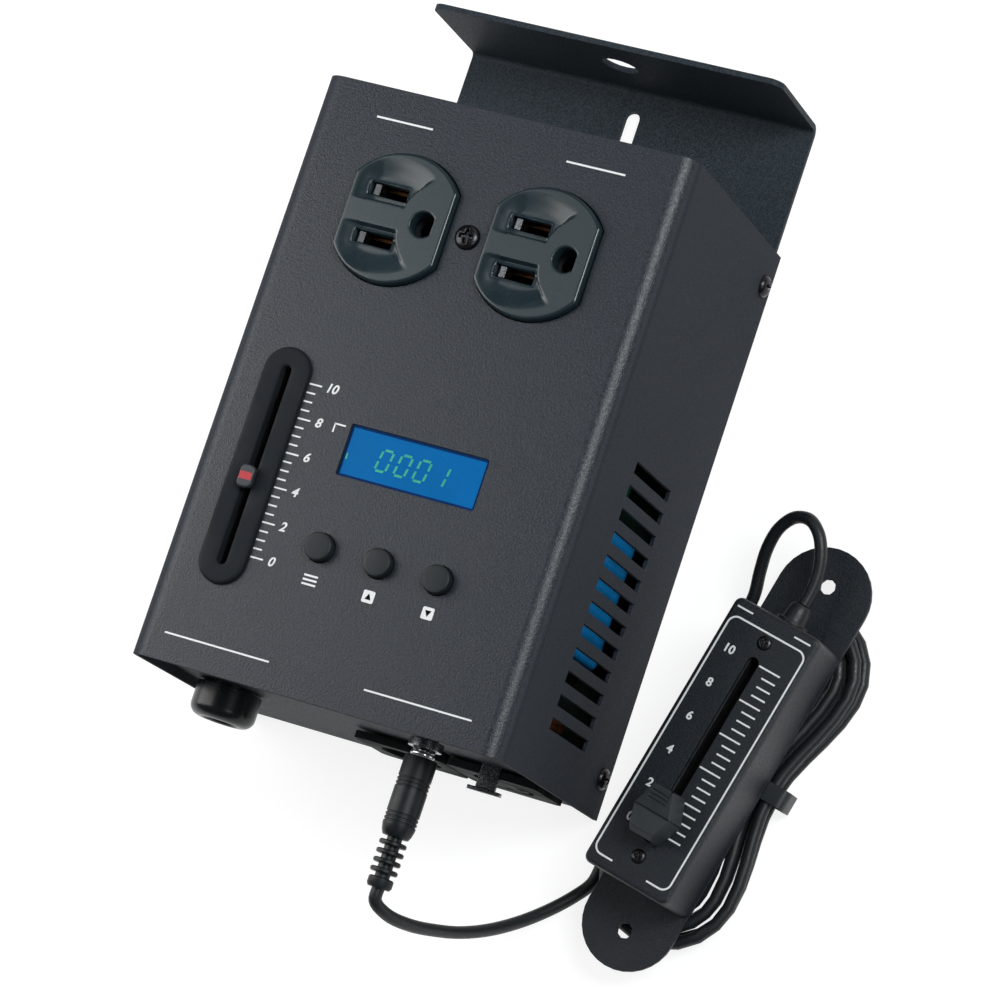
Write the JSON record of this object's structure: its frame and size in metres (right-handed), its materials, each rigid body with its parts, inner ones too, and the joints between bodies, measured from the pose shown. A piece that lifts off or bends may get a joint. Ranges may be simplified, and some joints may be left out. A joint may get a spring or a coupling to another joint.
{
  "type": "dimmer pack",
  "caption": "Wall-mount stage lighting dimmer pack with a duplex outlet, display, keys and slide fader, and a corded remote fader box.",
  "frame": {"origin": "centre of the case's back face, which lies on the floor", "axes": "+X to the right of the front face, +Y up the face towards the mounting flange, +Z out of the front"},
  "size_m": [0.1612, 0.2336, 0.0844],
  "materials": {
    "powder_coat": "fine textured charcoal powder coat",
    "black_metal": "black zinc",
    "steel": "plain zinc plated steel",
    "brass": "plain brass",
    "nickel": "bright nickel plate",
    "black_plastic": "satin black",
    "gloss_plastic": "gloss black",
    "grey_plastic": "dark grey",
    "blue_glass": "tinted blue window",
    "circuit": "green solder mask",
    "blue_plastic": "blue tape",
    "green_plastic": "green sleeve",
    "copper": "enamelled copper wire",
    "aluminium": "plain extrusion",
    "rubber": "black, slightly glossy"
  },
  "bodies": {
    "pack": {"board_standoff_1": "brass", "board_standoff_2": "brass", "board_standoff_3": "brass", "board_standoff_4": "brass", "chassis": "powder_coat", "control_board": "circuit", "cord_gland": "gloss_plastic", "cover": "powder_coat", "cover_screw_1": "black_metal", "cover_screw_2": "black_metal", "cover_screw_3": "black_metal", "cover_screw_4": "black_metal", "display_module": "grey_plastic", "display_window": "blue_glass", "dmx_in_insert": "grey_plastic", "dmx_in_shell": "black_plastic", "dmx_out_insert": "grey_plastic", "dmx_out_shell": "black_plastic", "down_switch": "grey_plastic", "fader_bezel": "black_plastic", "fader_pot": "steel", "filter_choke": "copper", "fuse_block": "grey_plastic", "gland_nut": "black_plastic", "heat_sink": "aluminium", "jack_nut": "nickel", "menu_switch": "grey_plastic", "outlet_body": "grey_plastic", "outlet_contact_hot": "brass", "outlet_contact_neutral": "nickel", "outlet_face": "black_plastic", "outlet_screw": "black_metal", "outlet_strap": "steel", "power_board": "circuit", "remote_jack": "black_plastic", "reservoir_capacitor": "green_plastic", "terminal_block": "green_plastic", "top_end_panel": "powder_coat", "transformer": "blue_plastic", "triac": "grey_plastic", "up_switch": "grey_plastic"},
    "fader": {"fader_lever": "gloss_plastic"},
    "menu_key": {"menu_button": "black_plastic"},
    "up_key": {"up_button": "black_plastic"},
    "down_key": {"down_button": "black_plastic"},
    "latch": {"dmx_out_latch": "nickel"},
    "remote_slider": {"remote_lever": "steel", "remote_knob": "black_plastic"},
    "remote": {"remote_housing": "powder_coat", "remote_base": "powder_coat", "remote_pot": "steel", "remote_screw_1": "black_metal", "remote_screw_2": "black_metal", "remote_bushing": "rubber", "plug_body": "rubber", "plug_pin": "nickel", "cord_lead": "rubber", "cord_hank": "rubber", "cord_loop": "rubber", "hank_tie": "black_plastic"}
  },
  "joints": [
    {"name": "fader_slide", "type": "slide", "parent": "pack", "child": "fader", "axis": [0, 1, 0], "range_m": [-0.0189, 0.0261]},
    {"name": "menu_press", "type": "slide", "parent": "pack", "child": "menu_key", "axis": [0, 0, -1], "range_m": [0, 0.0008], "stiffness_N_per_m": 400, "springref_m": -0.001},
    {"name": "up_press", "type": "slide", "parent": "pack", "child": "up_key", "axis": [0, 0, -1], "range_m": [0, 0.0008], "stiffness_N_per_m": 400, "springref_m": -0.001},
    {"name": "down_press", "type": "slide", "parent": "pack", "child": "down_key", "axis": [0, 0, -1], "range_m": [0, 0.0008], "stiffness_N_per_m": 400, "springref_m": -0.001},
    {"name": "latch_press", "type": "slide", "parent": "pack", "child": "latch", "axis": [0, 1, 0], "range_m": [0, 0.0015], "stiffness_N_per_m": 800, "springref_m": -0.002},
    {"name": "plug_pull", "type": "slide", "parent": "pack", "child": "remote", "axis": [0, -1, 0], "range_m": [0, 0.016]},
    {"name": "remote_slide", "type": "slide", "parent": "remote", "child": "remote_slider", "axis": [0.2299, 0.9732, 0], "range_m": [-0.003, 0.042]}
  ]
}
